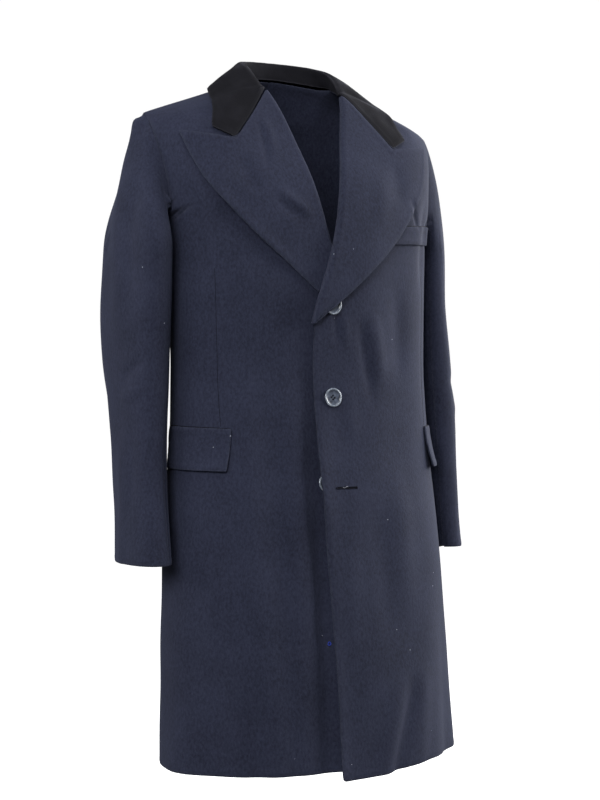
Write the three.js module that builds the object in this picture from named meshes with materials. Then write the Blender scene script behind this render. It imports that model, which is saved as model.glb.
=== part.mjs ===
import * as THREE from 'three';

// A knee-length wool overcoat with a velvet collar, in its worn, hollow form.
// Millimetres, +Z up. The origin is at the root of the neck, the front faces -Y,
// the wearer's left is +X. "Own side" is the side of the coat that a piece is cut for.

const clothWall = 3;
const seamGap = 0.4;
const turnedGap = 1.2;
const armpitZ = -222;
const hemZ = -1019;
const leftCornerDrop = 12;
const breakZ = -372;
const frontOverlap = 34;
const sideSeamAngle = 104;
const neckSide = { x: 78, y: 5, z: 4 };
const shoulderPoint = { x: 238, y: 5, z: -55 };
const backNeck = { x: 0, y: 62, z: 20 };

// The body of the coat, from the hem up to the armpit, as rings.
const bodyRings = [
  { z: -1060, halfWidth: 237, frontDepth: 148, backDepth: 148, centreY: -71, exponent: 2.2 },
  { z: -1000, halfWidth: 233, frontDepth: 145, backDepth: 144, centreY: -69, exponent: 2.2 },
  { z: -930, halfWidth: 231, frontDepth: 143, backDepth: 139, centreY: -66, exponent: 2.2 },
  { z: -830, halfWidth: 228, frontDepth: 136, backDepth: 131, centreY: -62, exponent: 2.2 },
  { z: -700, halfWidth: 224, frontDepth: 124, backDepth: 121, centreY: -57, exponent: 2.2 },
  { z: -600, halfWidth: 216, frontDepth: 112, backDepth: 110, centreY: -52, exponent: 2.2 },
  { z: -500, halfWidth: 209, frontDepth: 102, backDepth: 102, centreY: -47, exponent: 2.2 },
  { z: -420, halfWidth: 207, frontDepth: 100, backDepth: 101, centreY: -44, exponent: 2.2 },
  { z: -330, halfWidth: 211, frontDepth: 106, backDepth: 107, centreY: -38, exponent: 2.25 },
  { z: -222, halfWidth: 217, frontDepth: 112, backDepth: 112, centreY: -26, exponent: 2.35 },
  { z: -180, halfWidth: 219, frontDepth: 113, backDepth: 113, centreY: -21, exponent: 2.35 },
];

// The long soft folds of the skirt: where they lie round the body, in degrees from the
// centre front towards the wearer's left, and how far they stand out or in at the hem.
const skirtFolds = [
  { angle: 58, spread: 9, reach: -9, top: -700 },
  { angle: 76, spread: 9, reach: 7, top: -760 },
  { angle: 128, spread: 15, reach: -8, top: -560 },
  { angle: 155, spread: 12, reach: 7, top: -620 },
  { angle: 207, spread: 13, reach: 8, top: -600 },
  { angle: 236, spread: 15, reach: -8, top: -540 },
  { angle: 284, spread: 10, reach: 6, top: -620 },
  { angle: 305, spread: 12, reach: -5, top: -680 },
  { angle: 334, spread: 10, reach: 3, top: -700 },
];

// How far the lapel's roll line lies from the centre on its own side.
const rollLine = [
  { z: -420, x: -41 },
  { z: -372, x: -34 },
  { z: -325, x: -20 },
  { z: -290, x: -7 },
  { z: -255, x: 4 },
  { z: -208, x: 16 },
  { z: -150, x: 30 },
  { z: -100, x: 43 },
  { z: -60, x: 54 },
  { z: -22, x: 66 },
  { z: 4, x: 78 },
  { z: 20, x: 82 },
];

// How the chest falls back towards the shoulder seam: share of the depth that is left
// at a share of the height, beside the neck and beside the arm.
const chestFall = [
  { height: -0.1, atNeck: -0.2, atArm: -0.25 },
  { height: 0, atNeck: 0, atArm: 0 },
  { height: 0.05, atNeck: 0.24, atArm: 0.3 },
  { height: 0.12, atNeck: 0.42, atArm: 0.5 },
  { height: 0.27, atNeck: 0.57, atArm: 0.7 },
  { height: 0.44, atNeck: 0.69, atArm: 0.83 },
  { height: 0.7, atNeck: 0.87, atArm: 0.95 },
  { height: 0.88, atNeck: 0.96, atArm: 0.99 },
  { height: 1, atNeck: 1, atArm: 1 },
  { height: 1.15, atNeck: 1.03, atArm: 1 },
];
const backFall = [
  { height: -0.1, atNeck: -0.6, atArm: -0.25 },
  { height: 0, atNeck: 0, atArm: 0 },
  { height: 0.05, atNeck: 0.42, atArm: 0.3 },
  { height: 0.12, atNeck: 0.7, atArm: 0.52 },
  { height: 0.27, atNeck: 1.0, atArm: 0.78 },
  { height: 0.44, atNeck: 1.12, atArm: 0.93 },
  { height: 0.7, atNeck: 1.1, atArm: 1 },
  { height: 1, atNeck: 1, atArm: 1 },
  { height: 1.15, atNeck: 0.97, atArm: 1 },
];
const armholeOut = [
  { rise: 0, x: 0 },
  { rise: 0.25, x: 1 },
  { rise: 0.55, x: -2 },
  { rise: 0.85, x: 1 },
  { rise: 1, x: 0 },
];
const frontArmholeTurn = 29;
const backArmholeTurn = 22;

// A smooth curve through a table's rows: the value of one column where another is "at".
function along(table, key, column, at) {
  let row = 0;
  while (row < table.length - 2 && at > table[row + 1][key]) row += 1;
  const slope = (i) => {
    const before = table[Math.max(i - 1, 0)];
    const after = table[Math.min(i + 1, table.length - 1)];
    return (after[column] - before[column]) / (after[key] - before[key]);
  };
  const from = table[row];
  const to = table[row + 1];
  const span = to[key] - from[key];
  const share = THREE.MathUtils.clamp((at - from[key]) / span, 0, 1);
  const share2 = share * share;
  const share3 = share2 * share;
  return (
    (2 * share3 - 3 * share2 + 1) * from[column] +
    (share3 - 2 * share2 + share) * span * slope(row) +
    (3 * share2 - 2 * share3) * to[column] +
    (share3 - share2) * span * slope(row + 1)
  );
}

const lerp = THREE.MathUtils.lerp;
const smooth = THREE.MathUtils.smoothstep;
const degrees = THREE.MathUtils.degToRad;
const signedPower = (value, power) => Math.sign(value) * Math.abs(value) ** power;

// How far the skirt's folds move the cloth out at an angle and a height.
function foldReach(bodyAngle, z) {
  let reach = 0;
  for (const fold of skirtFolds) {
    const turn = ((bodyAngle - fold.angle + 540) % 360) - 180;
    const nearness = Math.exp(-((turn / fold.spread) ** 2));
    reach += fold.reach * nearness * smooth(-z, -fold.top, -hemZ);
  }
  return reach;
}

// A point of the body's ring at a height; the angle runs from the centre front to the own side.
function ringPoint(own, angle, z) {
  const power = 2 / along(bodyRings, 'z', 'exponent', z);
  const halfWidth = along(bodyRings, 'z', 'halfWidth', z);
  const ahead = Math.cos(degrees(angle));
  const aside = Math.sin(degrees(angle));
  const depth = along(bodyRings, 'z', ahead > 0 ? 'frontDepth' : 'backDepth', z);
  const reach = foldReach(own * angle, z);
  const x = (halfWidth + reach) * signedPower(aside, power);
  const y = along(bodyRings, 'z', 'centreY', z) - (depth + reach) * signedPower(ahead, power);
  return new THREE.Vector3(x, y, z);
}

// The angle at which the ring reaches a distance from the centre line.
function ringAngle(x, z) {
  const power = 2 / along(bodyRings, 'z', 'exponent', z);
  const halfWidth = along(bodyRings, 'z', 'halfWidth', z);
  return THREE.MathUtils.radToDeg(Math.asin(signedPower(x / halfWidth, 1 / power)));
}

// Where the front edge or the roll line lies, from the centre towards the own side.
function edgeX(own, z) {
  const swing = own > 0 ? 10 * smooth(-z, 520, 1000) : 0;
  return z < breakZ ? swing - frontOverlap : along(rollLine, 'z', 'x', z);
}

// The left front passes over the right one, its lapel's end and the open button: how far
// it is moved out near the edge.
const overlapLifts = [
  { z: -1060, lift: 4.2 },
  { z: -690, lift: 4.2 },
  { z: -640, lift: 8.6 },
  { z: -585, lift: 8.8 },
  { z: -540, lift: 4.6 },
  { z: -425, lift: 4.6 },
  { z: -380, lift: 8.6 },
  { z: -260, lift: 8.6 },
  { z: -200, lift: 6 },
  { z: -100, lift: 3 },
  { z: 20, lift: 0 },
];
function overLift(own, x, z) {
  if (own < 0) return 0;
  return along(overlapLifts, 'z', 'lift', z) * (1 - smooth(x, 42, 130));
}

// Above the armpit each panel is cut away along the armhole: how much of the cut's full
// depth is reached at a rise. The rim's lowest stretch lies nearly level.
const armholeCut = (rise) => Math.sin((Math.PI / 2) * THREE.MathUtils.clamp(rise / 0.42, 0, 1)) ** 0.8;
const rimHeight = (rise, nearArm) => Math.max(rise, 0) ** (1 + 0.5 * nearArm);

// A point of a front panel's middle layer. "across" runs from the front edge (0) to the
// side (1); "rise" runs from the hem (-1) over the armpit (0) to the shoulder seam (1).
function frontPoint(own, across, rise) {
  if (rise <= 0) {
    const hem = hemZ - (own > 0 ? leftCornerDrop * (1 - smooth(across, 0, 0.4)) : 0);
    const z = lerp(armpitZ, hem, -rise);
    const startAngle = ringAngle(edgeX(own, z), z);
    const point = ringPoint(own, lerp(startAngle, sideSeamAngle, across), z);
    point.y -= overLift(own, point.x, z);
    return new THREE.Vector3(own * point.x, point.y, point.z);
  }
  const start = ringAngle(edgeX(own, armpitZ), armpitZ);
  const end = sideSeamAngle - frontArmholeTurn * armholeCut(rise);
  const low = ringPoint(own, lerp(start, end, across), armpitZ);
  const lowEdge = ringPoint(own, start, armpitZ);
  const lowSide = ringPoint(own, end, armpitZ);
  const spread = (low.x - lowEdge.x) / (lowSide.x - lowEdge.x);
  const edgeZ = lerp(armpitZ, neckSide.z, rise);
  const armX = lerp(lowSide.x, shoulderPoint.x, rise) + along(armholeOut, 'rise', 'x', rise);
  const x = lerp(edgeX(own, edgeZ), armX, spread);
  const nearArm = across ** 6;
  const z = lerp(edgeZ, lerp(armpitZ, shoulderPoint.z, rimHeight(rise, nearArm)), spread);
  const fallNeck = along(chestFall, 'height', 'atNeck', 1 - rise);
  const fallArm = along(chestFall, 'height', 'atArm', 1 - rise);
  const seamY = lerp(neckSide.y, shoulderPoint.y, spread);
  const y = seamY - lerp(fallNeck, fallArm, spread) * (seamY - low.y);
  return new THREE.Vector3(own * x, y - overLift(own, x, z), z);
}

// A point of a back panel's middle layer. "across" runs from the centre back (0) to the side (1).
const neckShare = 0.38;
function backPoint(own, across, rise) {
  const cut = rise > 0 ? backArmholeTurn * armholeCut(rise) : 0;
  const angle = lerp(180, sideSeamAngle + cut, across);
  if (rise <= 0) {
    const point = ringPoint(own, angle, lerp(armpitZ, hemZ, -rise));
    return new THREE.Vector3(own * point.x, point.y, point.z);
  }
  const low = ringPoint(own, angle, armpitZ);
  const alongNeck = Math.min(across / neckShare, 1);
  const alongShoulder = Math.max((across - neckShare) / (1 - neckShare), 0);
  const neckX = neckSide.x * Math.sin((alongNeck * Math.PI) / 2);
  const topX = neckX + (shoulderPoint.x - neckSide.x) * alongShoulder;
  const dip = Math.sqrt(Math.max(1 - (neckX / neckSide.x) ** 2, 0));
  const topY = neckSide.y + (backNeck.y - neckSide.y) * dip;
  const topZ = lerp(neckSide.z + (backNeck.z - neckSide.z) * dip ** 2, shoulderPoint.z, alongShoulder);
  const fallNeck = along(backFall, 'height', 'atNeck', 1 - rise);
  const fallArm = along(backFall, 'height', 'atArm', 1 - rise);
  const nearArm = across ** 6;
  const x = lerp(low.x, topX, rise) + along(armholeOut, 'rise', 'x', rise) * nearArm;
  const y = topY + lerp(fallNeck, fallArm, across) * (low.y - topY);
  return new THREE.Vector3(own * x, y, lerp(armpitZ, topZ, rimHeight(rise, nearArm)));
}

// The outward normal of a surface given as a function of two shares.
function normalOf(surface, across, rise, outwards) {
  const step = 0.004;
  const alongRow = surface(across + step, rise).sub(surface(across - step, rise));
  const alongColumn = surface(across, rise + step).sub(surface(across, rise - step));
  return alongRow.cross(alongColumn).normalize().multiplyScalar(outwards);
}

// A closed wall between two layers, each a grid of rows of points. The layer "outer"
// shows its front when its rows run to the right and its columns run up.
function wallBetween(outer, inner) {
  const rows = outer.length;
  const columns = outer[0].length;
  const positions = [];
  for (const layer of [outer, inner]) {
    for (const row of layer) {
      for (const point of row) positions.push(point.x, point.y, point.z);
    }
  }
  const at = (layer, row, column) => (layer * rows + row) * columns + column;
  const index = [];
  const quad = (a, b, c, d) => index.push(a, b, c, a, c, d);
  for (let row = 0; row < rows - 1; row += 1) {
    for (let column = 0; column < columns - 1; column += 1) {
      quad(at(0, row, column), at(0, row, column + 1), at(0, row + 1, column + 1), at(0, row + 1, column));
      quad(at(1, row, column), at(1, row + 1, column), at(1, row + 1, column + 1), at(1, row, column + 1));
    }
  }
  for (let column = 0; column < columns - 1; column += 1) {
    quad(at(1, 0, column), at(1, 0, column + 1), at(0, 0, column + 1), at(0, 0, column));
    quad(at(0, rows - 1, column), at(0, rows - 1, column + 1), at(1, rows - 1, column + 1), at(1, rows - 1, column));
  }
  for (let row = 0; row < rows - 1; row += 1) {
    quad(at(0, row, 0), at(0, row + 1, 0), at(1, row + 1, 0), at(1, row, 0));
    quad(at(0, row, columns - 1), at(1, row, columns - 1), at(1, row + 1, columns - 1), at(0, row + 1, columns - 1));
  }
  const geometry = new THREE.BufferGeometry();
  geometry.setAttribute('position', new THREE.Float32BufferAttribute(positions, 3));
  geometry.setIndex(index);
  return geometry;
}

// The wall of one sewn panel: its middle layer moved out and in by half the cloth.
// "facing" is 1 where columns run to the viewer's right seen from outside, else -1.
function panelWall(surface, acrossShares, riseShares, facing, seamNormal) {
  const outer = [];
  const inner = [];
  for (const rise of riseShares) {
    const outerRow = [];
    const innerRow = [];
    for (const across of acrossShares) {
      const point = surface(across, rise);
      const fixed = seamNormal ? seamNormal(across, rise) : null;
      const normal = fixed ?? normalOf(surface, across, rise, facing);
      outerRow.push(point.clone().addScaledVector(normal, clothWall / 2));
      innerRow.push(point.clone().addScaledVector(normal, -clothWall / 2));
    }
    if (facing < 0) {
      outerRow.reverse();
      innerRow.reverse();
    }
    outer.push(outerRow);
    inner.push(innerRow);
  }
  return wallBetween(outer, inner);
}

const sharesBetween = (from, to, count) =>
  Array.from({ length: count + 1 }, (_, i) => lerp(from, to, i / count));

const wool = new THREE.MeshStandardMaterial({ color: 0x282b3a, roughness: 0.95, metalness: 0 });
const velvet = new THREE.MeshStandardMaterial({ color: 0x16161c, roughness: 0.85, metalness: 0 });
const horn = new THREE.MeshStandardMaterial({ color: 0x14161f, roughness: 0.25, metalness: 0 });

const overcoat = new THREE.Group();

function addPiece(name, geometry, material) {
  const mesh = new THREE.Mesh(geometry, material);
  mesh.name = name;
  overcoat.add(mesh);
}

const sides = [
  { word: 'left', own: 1 },
  { word: 'right', own: -1 },
];

// At the shoulder seam both panels turn their edges straight up from the seam's line.
const seamLength = Math.hypot(shoulderPoint.x - neckSide.x, shoulderPoint.z - neckSide.z);
function shoulderNormal(own) {
  return new THREE.Vector3(
    (own * (neckSide.z - shoulderPoint.z)) / seamLength,
    0,
    (shoulderPoint.x - neckSide.x) / seamLength,
  );
}

const halfGap = seamGap / 2;
const gorgeRise = 0.885;
const skirtRises = [-1, -0.91, -0.82, -0.73, -0.64, -0.56, -0.515, -0.46, -0.41, -0.34, -0.26];
const chestRises = [-0.185, -0.16, -0.13, -0.085, -0.04, 0, 0.14, 0.28, 0.42, 0.56, 0.69, 0.8, gorgeRise];
const frontRises = [...skirtRises, ...chestRises, 0.925, 0.965, 1 - halfGap / 100];
const backRises = [...sharesBetween(-1, 0, 11), 0.14, 0.28, 0.42, 0.56, 0.69, 0.8, 0.89, 0.95, 1 - halfGap / 100];

function addFront({ word, own }) {
  const surface = (across, rise) => frontPoint(own, across, rise);
  const acrossShares = sharesBetween(0, 1 - halfGap / 380, 14);
  const seamNormal = (across, rise) => (rise > 0.99 ? shoulderNormal(own) : null);
  const geometry = panelWall(surface, acrossShares, frontRises, own, seamNormal);
  addPiece(`front_${word}`, geometry, wool);
}

function addBack({ word, own }) {
  const surface = (across, rise) => backPoint(own, across, rise);
  const acrossShares = sharesBetween(halfGap / 300, 1 - halfGap / 300, 10);
  acrossShares[4] = neckShare;
  const seamNormal = (across, rise) =>
    rise > 0.99 && across > neckShare - 0.01 ? shoulderNormal(own) : null;
  const geometry = panelWall(surface, acrossShares, backRises, -own, seamNormal);
  addPiece(`back_${word}`, geometry, wool);
}

// The wall of a piece whose middle layer is already a grid of points.
function gridWall(grid, thickness, facing) {
  const lastRow = grid.length - 1;
  const lastColumn = grid[0].length - 1;
  const layer = (offset) =>
    grid.map((row, r) => {
      const moved = row.map((point, c) => {
        const alongRow = row[Math.min(c + 1, lastColumn)].clone().sub(row[Math.max(c - 1, 0)]);
        const alongColumn = grid[Math.min(r + 1, lastRow)][c].clone().sub(grid[Math.max(r - 1, 0)][c]);
        const normal = alongRow.cross(alongColumn).normalize().multiplyScalar(facing);
        return point.clone().addScaledVector(normal, offset);
      });
      return facing < 0 ? moved.reverse() : moved;
    });
  return wallBetween(layer(thickness / 2), layer(-thickness / 2));
}

// The wall of a grid whose outward normals are known.
function wallAlong(grid, normals, thickness, facing) {
  const layer = (offset) =>
    grid.map((row, r) => {
      const moved = row.map((point, c) => point.clone().addScaledVector(normals[r][c], offset));
      return facing < 0 ? moved.reverse() : moved;
    });
  return wallBetween(layer(thickness / 2), layer(-thickness / 2));
}

// Sleeves: two pieces each, from the armhole's rim over the sleeve head to an oval tube.
const sleeveRings = {
  right: [
    { z: -260, x: 255, y: -14, halfWidth: 36, halfDepth: 84, turn: 4 },
    { z: -390, x: 253, y: 0, halfWidth: 37, halfDepth: 83, turn: 4 },
    { z: -480, x: 253.5, y: -10, halfWidth: 35.5, halfDepth: 76, turn: 0 },
    { z: -588, x: 257, y: -27, halfWidth: 33, halfDepth: 67, turn: -3 },
    { z: -670, x: 260.5, y: -47, halfWidth: 33.5, halfDepth: 67, turn: -3 },
    { z: -720, x: 263, y: -59, halfWidth: 34, halfDepth: 69, turn: -3 },
  ],
  left: [
    { z: -260, x: 247, y: 24, halfWidth: 29, halfDepth: 76, turn: 0 },
    { z: -390, x: 248, y: 22, halfWidth: 32, halfDepth: 77, turn: 0 },
    { z: -480, x: 252, y: 12, halfWidth: 35, halfDepth: 72, turn: 0 },
    { z: -588, x: 256, y: -2, halfWidth: 32, halfDepth: 62, turn: 0 },
    { z: -670, x: 256, y: -9, halfWidth: 31, halfDepth: 62, turn: 0 },
    { z: -716, x: 258, y: -12, halfWidth: 32, halfDepth: 64, turn: 0 },
  ],
};
const sleeveCapShare = 0.36;
const armholeGap = 2;
const sleeveSeams = { front: 118, back: 242 };

// A point of the sleeve's oval tube; "around" is 0 outside, 90 in front, 180 at the body.
function sleeveRing(word, around, z) {
  const table = sleeveRings[word].toReversed();
  const power = 2 / 2.3;
  const outwards = along(table, 'z', 'halfWidth', z) * signedPower(Math.cos(degrees(around)), power);
  const forwards = along(table, 'z', 'halfDepth', z) * signedPower(Math.sin(degrees(around)), power);
  const turn = degrees(along(table, 'z', 'turn', z));
  return new THREE.Vector3(
    along(table, 'z', 'x', z) + outwards * Math.cos(turn) - forwards * Math.sin(turn),
    along(table, 'z', 'y', z) - forwards * Math.cos(turn) - outwards * Math.sin(turn),
    z,
  );
}

// The armhole's rim in own-side terms, 0 at the shoulder seam, 90 in front, 180 underarm:
// its point and the direction in which the panel would go on beyond its edge.
function armholeRim(own, around) {
  const turned = ((around % 360) + 360) % 360;
  const inFront = turned <= 180;
  const surface = (across, rise) =>
    inFront ? frontPoint(own, across, rise) : backPoint(own, across, rise);
  const rise = inFront ? 1 - turned / 180 : (turned - 180) / 180;
  const inside = THREE.MathUtils.clamp(rise, 0.02, 0.98);
  const normal = normalOf(surface, 1, inside, inFront ? own : -own);
  const beyond = surface(1, inside + 0.02).sub(surface(1, inside - 0.02)).cross(normal).normalize();
  if (own * beyond.x + beyond.z < 0) beyond.negate();
  const point = surface(1, rise);
  return {
    point: new THREE.Vector3(own * point.x, point.y, point.z),
    beyond: new THREE.Vector3(own * beyond.x, beyond.y, beyond.z),
  };
}

// A point of a sleeve; "down" runs from the armhole (0) over the sleeve head to the cuff (1).
function sleevePoint(word, own, around, down) {
  const rings = sleeveRings[word];
  const topZ = rings[0].z;
  const cuffZ = rings[rings.length - 1].z;
  if (down >= sleeveCapShare) {
    const share = (down - sleeveCapShare) / (1 - sleeveCapShare);
    const ring = sleeveRing(word, around, lerp(topZ, cuffZ, share));
    return new THREE.Vector3(own * ring.x, ring.y, ring.z);
  }
  const rim = armholeRim(own, around);
  const underarm = smooth(-Math.cos(degrees(around)), 0.45, 0.97);
  const over = smooth(Math.cos(degrees(around)), 0.1, 1);
  const end = sleeveRing(word, around, topZ);
  const leave = new THREE.Vector3(lerp(34, 30, underarm) + over * 16, 0, lerp(0, 4, underarm) - over * 6);
  leave.y = (end.y - rim.point.y) * 0.5 * (1 - underarm);
  leave.addScaledVector(rim.beyond, -Math.min(leave.dot(rim.beyond), 0));
  const turnAway = Math.sin(Math.min(leave.angleTo(rim.beyond), Math.PI / 2));
  const start = rim.point.clone().addScaledVector(rim.beyond, armholeGap + (clothWall / 2) * turnAway);
  const arrive = new THREE.Vector3(0, 0, (topZ - start.z) * lerp(1.15, 1.6, underarm));
  const share = down / sleeveCapShare;
  const share2 = share * share;
  const share3 = share2 * share;
  const point = start
    .multiplyScalar(2 * share3 - 3 * share2 + 1)
    .addScaledVector(leave, share3 - 2 * share2 + share)
    .addScaledVector(end, 3 * share2 - 2 * share3)
    .addScaledVector(arrive, share3 - share2);
  return new THREE.Vector3(own * point.x, point.y, point.z);
}

function sleeveNormal(surface, around, down, own) {
  const turn = 3;
  const step = 0.012;
  const round = surface(around + turn, down).sub(surface(around - turn, down));
  const lengthwise = surface(around, Math.min(down + step, 1)).sub(surface(around, Math.max(down - step, 0)));
  return round.cross(lengthwise).normalize().multiplyScalar(own);
}

function addSleeve({ word, own }) {
  const surface = (around, down) => sleevePoint(word, own, around, down);
  const capShares = [0, 0.08, 0.2, 0.36, 0.54, 0.72, 0.88].map((share) => share * sleeveCapShare);
  const downShares = [...capShares, ...sharesBetween(sleeveCapShare, 1, 11)];
  const seamAngle = 0.25;
  const pieces = [
    { name: `sleeve_top_${word}`, from: sleeveSeams.back - 360 + seamAngle, to: sleeveSeams.front - seamAngle, steps: 14 },
    { name: `sleeve_under_${word}`, from: sleeveSeams.front + seamAngle, to: sleeveSeams.back - seamAngle, steps: 8 },
  ];
  for (const piece of pieces) {
    const arounds = sharesBetween(piece.from, piece.to, piece.steps);
    const grid = downShares.map((down) => arounds.map((around) => surface(around, down)));
    const normals = downShares.map((down) => arounds.map((around) => sleeveNormal(surface, around, down, own)));
    addPiece(piece.name, wallAlong(grid, normals, clothWall, own), wool);
  }
}

// Finds the point of a panel in front of a place given by its distance from the centre
// and its height, and the panel's outward normal there.
function panelAt(surface, own, facing, x, z) {
  let across = 0.4;
  let rise = z < armpitZ ? -(armpitZ - z) / (armpitZ - hemZ) : (z - armpitZ) / -armpitZ;
  const step = 0.002;
  for (let turn = 0; turn < 12; turn += 1) {
    const here = surface(across, rise);
    const aside = surface(across + step, rise).sub(here).divideScalar(step);
    const above = surface(across, rise + step).sub(here).divideScalar(step);
    const missX = own * x - here.x;
    const missZ = z - here.z;
    const scale = aside.x * above.z - above.x * aside.z;
    across = THREE.MathUtils.clamp(across + (missX * above.z - missZ * above.x) / scale, 0, 1.02);
    rise = THREE.MathUtils.clamp(rise + (missZ * aside.x - missX * aside.z) / scale, -1, 1);
  }
  return { point: surface(across, rise), normal: normalOf(surface, across, rise, facing) };
}

function onFront(own, x, z, lift) {
  const found = panelAt((across, rise) => frontPoint(own, across, rise), own, own, x, z);
  return found.point.addScaledVector(found.normal, lift);
}

function onBack(own, x, z, lift) {
  const found = panelAt((across, rise) => backPoint(own, across, rise), own, -own, x, z);
  return found.point.addScaledVector(found.normal, lift);
}

// Lapels: turned over at the roll line, peaked, wide. Outer edge from the last button up.
const gorgeTop = { x: 66, z: -22 };
const notch = { x: 132, z: -100 };
const peakTip = { x: 208, z: -89 };
const lapelEdge = [
  { up: 0, x: -29, z: -366 },
  { up: 0.1, x: 2, z: -343 },
  { up: 0.22, x: 34, z: -317 },
  { up: 0.36, x: 74, z: -281 },
  { up: 0.5, x: 116, z: -243 },
  { up: 0.64, x: 146, z: -208 },
  { up: 0.78, x: 173, z: -177 },
  { up: 0.9, x: 192.5, z: -141 },
  { up: 1, x: peakTip.x, z: peakTip.z },
];
const lapelStart = { left: -371, right: -349 };
const lapelFirstRow = { left: 0, right: 1 };
const rollRadius = {
  left: [
    { up: 0, radius: 4.2 },
    { up: 0.3, radius: 4.4 },
    { up: 1, radius: 3.6 },
  ],
  right: [
    { up: 0, radius: 2.3 },
    { up: 0.3, radius: 2.6 },
    { up: 0.5, radius: 4.2 },
    { up: 1, radius: 3.6 },
  ],
};
const lapelRise = 4.9;
const gorgeShare = 0.5;

function lapelPoint(word, own, across, up, rollZ) {
  const radius = along(rollRadius[word], 'up', 'radius', up);
  const rollX = edgeX(own, rollZ);
  const edge = { x: along(lapelEdge, 'up', 'x', up), z: along(lapelEdge, 'up', 'z', up) };
  if (word === 'right' && up < 0.1) edge.z += (lapelStart.right - lapelStart.left) * (1 - up / 0.1);
  let x = lerp(rollX, edge.x, across);
  let z = lerp(rollZ, edge.z, across);
  const toNotch = across < gorgeShare ? across / gorgeShare : (1 - across) / (1 - gorgeShare);
  const bend = toNotch * up ** 4;
  x += bend * (notch.x - lerp(gorgeTop.x, peakTip.x, gorgeShare));
  z += bend * (notch.z - lerp(gorgeTop.z, peakTip.z, gorgeShare));
  const atEdge = word === 'left' ? lerp(2 * radius, lapelRise, smooth(up, 0.62, 0.8)) : lapelRise;
  const lift = lerp(2 * radius, atEdge, smooth(across, 0, 0.7));
  return onFront(own, x, z, lift);
}

function addLapel({ word, own }) {
  const acrossShares = [0.06, 0.15, 0.26, 0.38, gorgeShare, 0.62, 0.75, 0.88, 1];
  const surface = (across, rise) => frontPoint(own, across, rise);
  const grid = chestRises.slice(lapelFirstRow[word]).map((rise) => {
    const edge = surface(0, rise);
    const up = THREE.MathUtils.clamp((edge.z - lapelStart[word]) / (gorgeTop.z - lapelStart[word]), 0, 1);
    const normal = normalOf(surface, 0, rise, own);
    const away = edge.clone().sub(surface(0.01, rise)).normalize();
    const radius = along(rollRadius[word], 'up', 'radius', up);
    const rolled = [0, 60, 120, 180].map((turn) =>
      edge
        .clone()
        .addScaledVector(away, turnedGap + radius * Math.sin(degrees(turn)))
        .addScaledVector(normal, radius - radius * Math.cos(degrees(turn))),
    );
    return [...rolled, ...acrossShares.map((across) => lapelPoint(word, own, across, up, edge.z))];
  });
  addPiece(`lapel_${word}`, gridWall(grid, clothWall, own), wool);
}

// Collar: velvet, from notch to notch. Each station runs from its inner edge over the fold
// to its outer edge, which lies on the front or the back at a given place.
const collarRise = 4.8;
const collarStations = [
  { inner: 'gorge', share: 1, outer: 'front', outerX: 163, outerZ: -84 },
  { inner: 'gorge', share: 0.7, outer: 'front', outerX: 162, outerZ: -74 },
  { inner: 'gorge', share: 0.35, outer: 'front', outerX: 158, outerZ: -62 },
  { inner: 'roll', height: 2, turn: 180, outer: 'front', outerX: 154, outerZ: -51 },
  { inner: 'roll', height: 4.5, turn: 95, outer: 'front', outerX: 152, outerZ: -46 },
  { inner: 'roll', height: 7, turn: 10, outer: 'front', outerX: 150, outerZ: -42 },
  { inner: 'edge', rise: 0.942, foldX: 70, foldY: -36, foldZ: 1, outer: 'front', outerX: 146, outerZ: -33 },
  { inner: 'edge', rise: 0.975, foldX: 71, foldY: -19, foldZ: 17, outer: 'front', outerX: 141, outerZ: -26 },
  { inner: 'neck', x: 75.5, y: 5, z: 6, foldX: 69, foldY: 2, foldZ: 31, outer: 'seam', outerX: 132, outerZ: -16 },
  { inner: 'neck', x: 69, y: 28, z: 11, foldX: 63, foldY: 32, foldZ: 41, outer: 'back', outerX: 106, outerZ: -22 },
  { inner: 'neck', x: 46, y: 48, z: 17, foldX: 42, foldY: 56, foldZ: 48, outer: 'back', outerX: 60, outerZ: -15 },
  { inner: 'neck', x: 0, y: 60, z: 22, foldX: 0, foldY: 69, foldZ: 51, outer: 'back', outerX: 0, outerZ: -11 },
];

function collarOuter(own, station) {
  if (station.outer === 'back') return onBack(own, station.outerX, station.outerZ, collarRise + 1.5);
  if (station.outer === 'front') return onFront(own, station.outerX, station.outerZ, collarRise);
  const point = new THREE.Vector3(own * station.outerX, neckSide.y, station.outerZ);
  return point.addScaledVector(shoulderNormal(own), collarRise + 2);
}

// The lower edge of the stand, just inside the neck's edge.
function collarInner(own, station) {
  if (station.inner === 'neck') return new THREE.Vector3(own * station.x, station.y, station.z);
  const edge = frontPoint(own, 0, station.rise);
  const away = edge.clone().sub(frontPoint(own, 0.01, station.rise)).normalize();
  return edge.addScaledVector(away, clothWall / 2 + turnedGap);
}

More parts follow.
